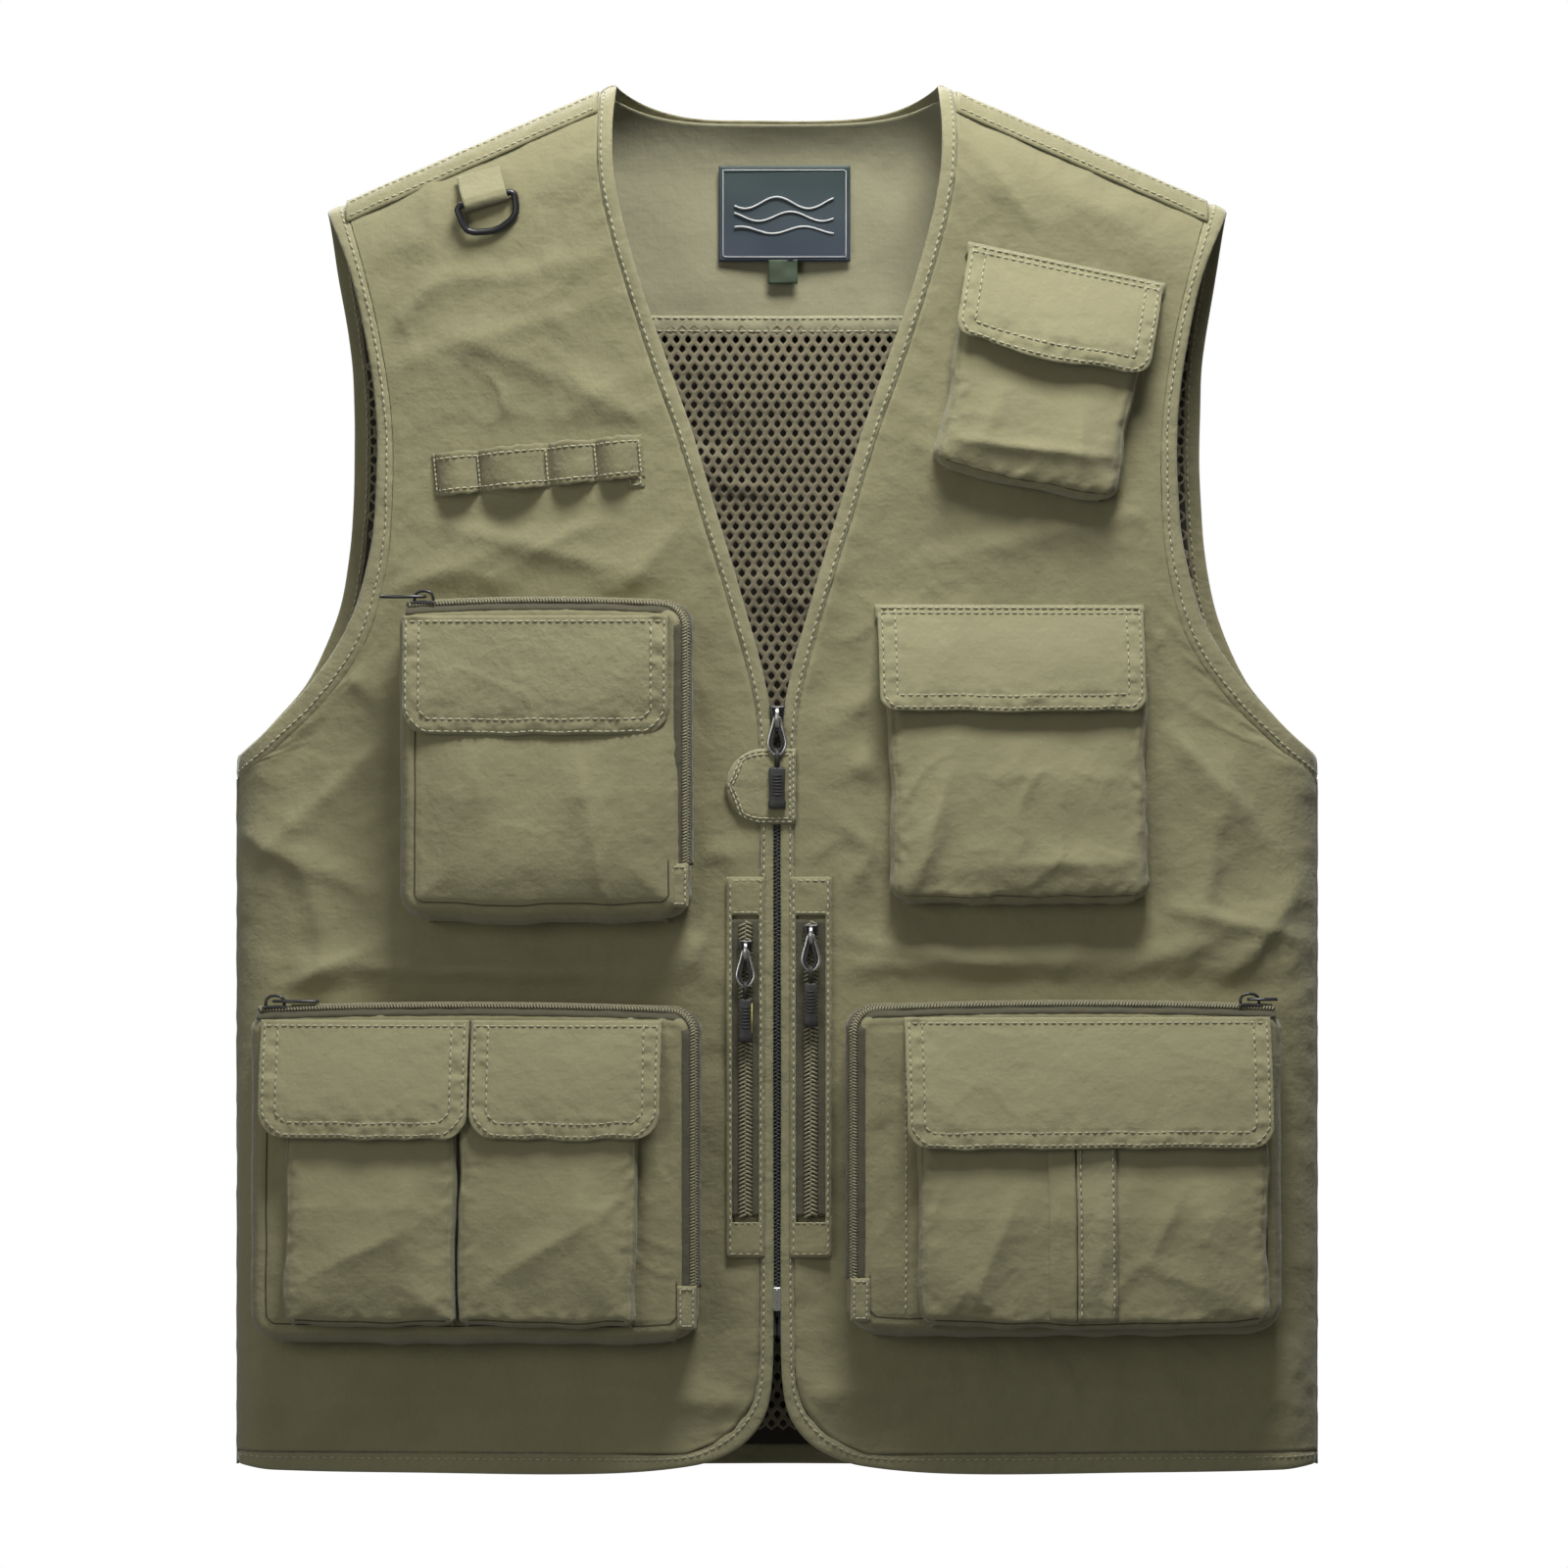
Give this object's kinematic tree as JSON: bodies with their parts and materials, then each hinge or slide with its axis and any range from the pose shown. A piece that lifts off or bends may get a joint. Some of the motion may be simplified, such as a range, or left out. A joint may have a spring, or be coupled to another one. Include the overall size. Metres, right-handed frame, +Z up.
{
  "type": "fishing vest",
  "caption": "Sleeveless olive fishing vest with a full front zip, bellows pockets with flaps, vertical zip pockets, tool loops, a D-ring and a mesh lining.",
  "frame": {"origin": "on the centre line at the height of the neck points, in the plane of the side and shoulder seams", "axes": "+Z up as the vest hangs, front towards -Y, wearer's left towards +X"},
  "size_m": [0.551, 0.129, 0.7065],
  "materials": {
    "olive_fabric": "matte woven polycotton",
    "olive_binding": "matte woven polycotton",
    "olive_gusset": "matte woven polycotton",
    "brown_mesh": "open mesh knit",
    "zip_tape": "woven tape with nylon coil",
    "label_cloth": "satin woven label",
    "tab_cloth": "woven tab",
    "black_metal": "gloss black",
    "nickel": "bright nickel plate",
    "black_rubber": "moulded matte rubber"
  },
  "bodies": {
    "vest": {"back_panel": "olive_fabric", "back_yoke": "olive_fabric", "front_right": "olive_fabric", "front_left": "olive_fabric", "front_lining_right": "brown_mesh", "front_lining_left": "brown_mesh", "yoke_lining": "olive_fabric", "mesh_lining": "brown_mesh", "neck_band": "olive_binding", "front_band_right": "olive_binding", "front_band_left": "olive_binding", "armhole_band_right": "olive_binding", "armhole_band_left": "olive_binding", "hem_band_back": "olive_binding", "main_zip_right": "zip_tape", "main_zip_left": "zip_tape", "main_zip_box": "nickel", "zip_tab": "olive_binding", "label": "label_cloth", "size_tab": "tab_cloth", "d_ring_loop": "olive_binding", "tool_loops": "olive_gusset", "side_zip_right": "olive_gusset", "side_zip_welt_right": "olive_fabric", "side_zip_left": "olive_gusset", "side_zip_welt_left": "olive_fabric", "chest_pocket": "olive_fabric", "mid_pocket_left": "olive_fabric", "mid_pocket_right_gusset": "olive_gusset", "mid_pocket_right_face": "olive_fabric", "mid_pocket_right_zip": "olive_gusset", "low_pocket_right_gusset": "olive_gusset", "low_pocket_right_face": "olive_fabric", "low_pocket_right_zip": "olive_gusset", "low_patch_outer_right": "olive_fabric", "low_patch_inner_right": "olive_fabric", "low_pocket_left_gusset": "olive_gusset", "low_pocket_left_face": "olive_fabric", "low_pocket_left_zip": "olive_gusset", "low_patch_left": "olive_fabric", "low_strap_left": "olive_binding"},
    "mid_flap_right": {"mid_flap_right": "olive_binding"},
    "low_flap_outer_right": {"low_flap_outer_right": "olive_binding"},
    "low_flap_inner_right": {"low_flap_inner_right": "olive_binding"},
    "low_flap_left": {"low_flap_left": "olive_binding"},
    "mid_flap_left": {"mid_flap_left": "olive_binding"},
    "chest_flap": {"chest_flap": "olive_binding"},
    "main_slider": {"main_slider": "nickel"},
    "main_pull": {"main_pull": "black_rubber"},
    "side_zip_left_slider": {"side_zip_left_slider": "nickel"},
    "side_zip_left_pull": {"side_zip_left_pull": "black_rubber"},
    "side_zip_right_slider": {"side_zip_right_slider": "nickel"},
    "side_zip_right_pull": {"side_zip_right_pull": "black_rubber"},
    "mid_pocket_right_slider": {"mid_pocket_right_slider": "black_metal"},
    "mid_pocket_right_pull": {"mid_pocket_right_pull": "black_metal"},
    "low_pocket_right_slider": {"low_pocket_right_slider": "black_metal"},
    "low_pocket_right_pull": {"low_pocket_right_pull": "black_metal"},
    "low_pocket_left_slider": {"low_pocket_left_slider": "black_metal"},
    "low_pocket_left_pull": {"low_pocket_left_pull": "black_metal"},
    "d_ring": {"d_ring": "black_metal"}
  },
  "joints": [
    {"name": "mid_flap_right_hinge", "type": "hinge", "parent": "vest", "child": "mid_flap_right", "pos_m": [-0.1219, -0.06407, -0.2705], "axis": [-0.995, 0.0995, 0], "range_deg": [0, 150]},
    {"name": "low_flap_outer_right_hinge", "type": "hinge", "parent": "vest", "child": "low_flap_outer_right", "pos_m": [-0.2079, -0.05547, -0.4745], "axis": [-0.995, 0.0995, 0], "range_deg": [0, 150]},
    {"name": "low_flap_inner_right_hinge", "type": "hinge", "parent": "vest", "child": "low_flap_inner_right", "pos_m": [-0.10615, -0.06565, -0.4745], "axis": [-0.995, 0.0995, 0], "range_deg": [0, 150]},
    {"name": "low_flap_left_hinge", "type": "hinge", "parent": "vest", "child": "low_flap_left", "pos_m": [0.15665, -0.0606, -0.473], "axis": [-0.995, -0.0995, 0], "range_deg": [0, 150]},
    {"name": "mid_flap_left_hinge", "type": "hinge", "parent": "vest", "child": "mid_flap_left", "pos_m": [0.11815, -0.0352, -0.266], "axis": [-0.995, -0.0995, 0], "range_deg": [0, 140]},
    {"name": "chest_flap_hinge", "type": "hinge", "parent": "vest", "child": "chest_flap", "pos_m": [0.14684, -0.03233, -0.09238], "axis": [-0.9746, -0.0975, 0.2016], "range_deg": [0, 150]},
    {"name": "main_slide", "type": "slide", "parent": "vest", "child": "main_slider", "axis": [0, 0, -1], "range_m": [0, 0.277], "deforming": ["zip_tab"]},
    {"name": "main_pull_hinge", "type": "hinge", "parent": "main_slider", "child": "main_pull", "pos_m": [0, -0.0481, -0.322], "axis": [-1, 0, 0], "range_deg": [0, 160]},
    {"name": "side_zip_left_slide", "type": "slide", "parent": "vest", "child": "side_zip_left_slider", "axis": [0, 0, -1], "range_m": [0, 0.134]},
    {"name": "side_zip_left_pull_hinge", "type": "hinge", "parent": "side_zip_left_slider", "child": "side_zip_left_pull", "pos_m": [0.017, -0.05027, -0.432], "axis": [-1, 0, 0], "range_deg": [0, 160]},
    {"name": "side_zip_right_slide", "type": "slide", "parent": "vest", "child": "side_zip_right_slider", "axis": [0, 0, -1], "range_m": [0, 0.126]},
    {"name": "side_zip_right_pull_hinge", "type": "hinge", "parent": "side_zip_right_slider", "child": "side_zip_right_pull", "pos_m": [-0.016, -0.05027, -0.44], "axis": [-1, 0, 0], "range_deg": [0, 160]},
    {"name": "mid_pocket_right_slide", "type": "slide", "parent": "vest", "child": "mid_pocket_right_slider", "axis": [0.995, -0.0995, 0], "range_m": [0, 0.12]},
    {"name": "mid_pocket_right_pull_hinge", "type": "hinge", "parent": "mid_pocket_right_slider", "child": "mid_pocket_right_pull", "pos_m": [-0.17836, -0.05129, -0.2609], "axis": [0.0995, 0.995, 0], "range_deg": [0, 170]},
    {"name": "low_pocket_right_slide", "type": "slide", "parent": "vest", "child": "low_pocket_right_slider", "axis": [0.995, -0.0995, 0], "range_m": [0, 0.198]},
    {"name": "low_pocket_right_pull_hinge", "type": "hinge", "parent": "low_pocket_right_slider", "child": "low_pocket_right_pull", "pos_m": [-0.25386, -0.04374, -0.4654], "axis": [-0.0995, -0.995, 0], "range_deg": [0, 170]},
    {"name": "low_pocket_left_slide", "type": "slide", "parent": "vest", "child": "low_pocket_left_slider", "axis": [-0.995, -0.0995, 0], "range_m": [0, 0.186]},
    {"name": "low_pocket_left_pull_hinge", "type": "hinge", "parent": "low_pocket_left_slider", "child": "low_pocket_left_pull", "pos_m": [0.23888, -0.04524, -0.4644], "axis": [0.0995, -0.995, 0], "range_deg": [0, 170]},
    {"name": "d_ring_hinge", "type": "hinge", "parent": "vest", "child": "d_ring", "pos_m": [-0.148, -0.034, -0.059], "axis": [-0.9638, 0, -0.2667], "range_deg": [0, 120]}
  ]
}
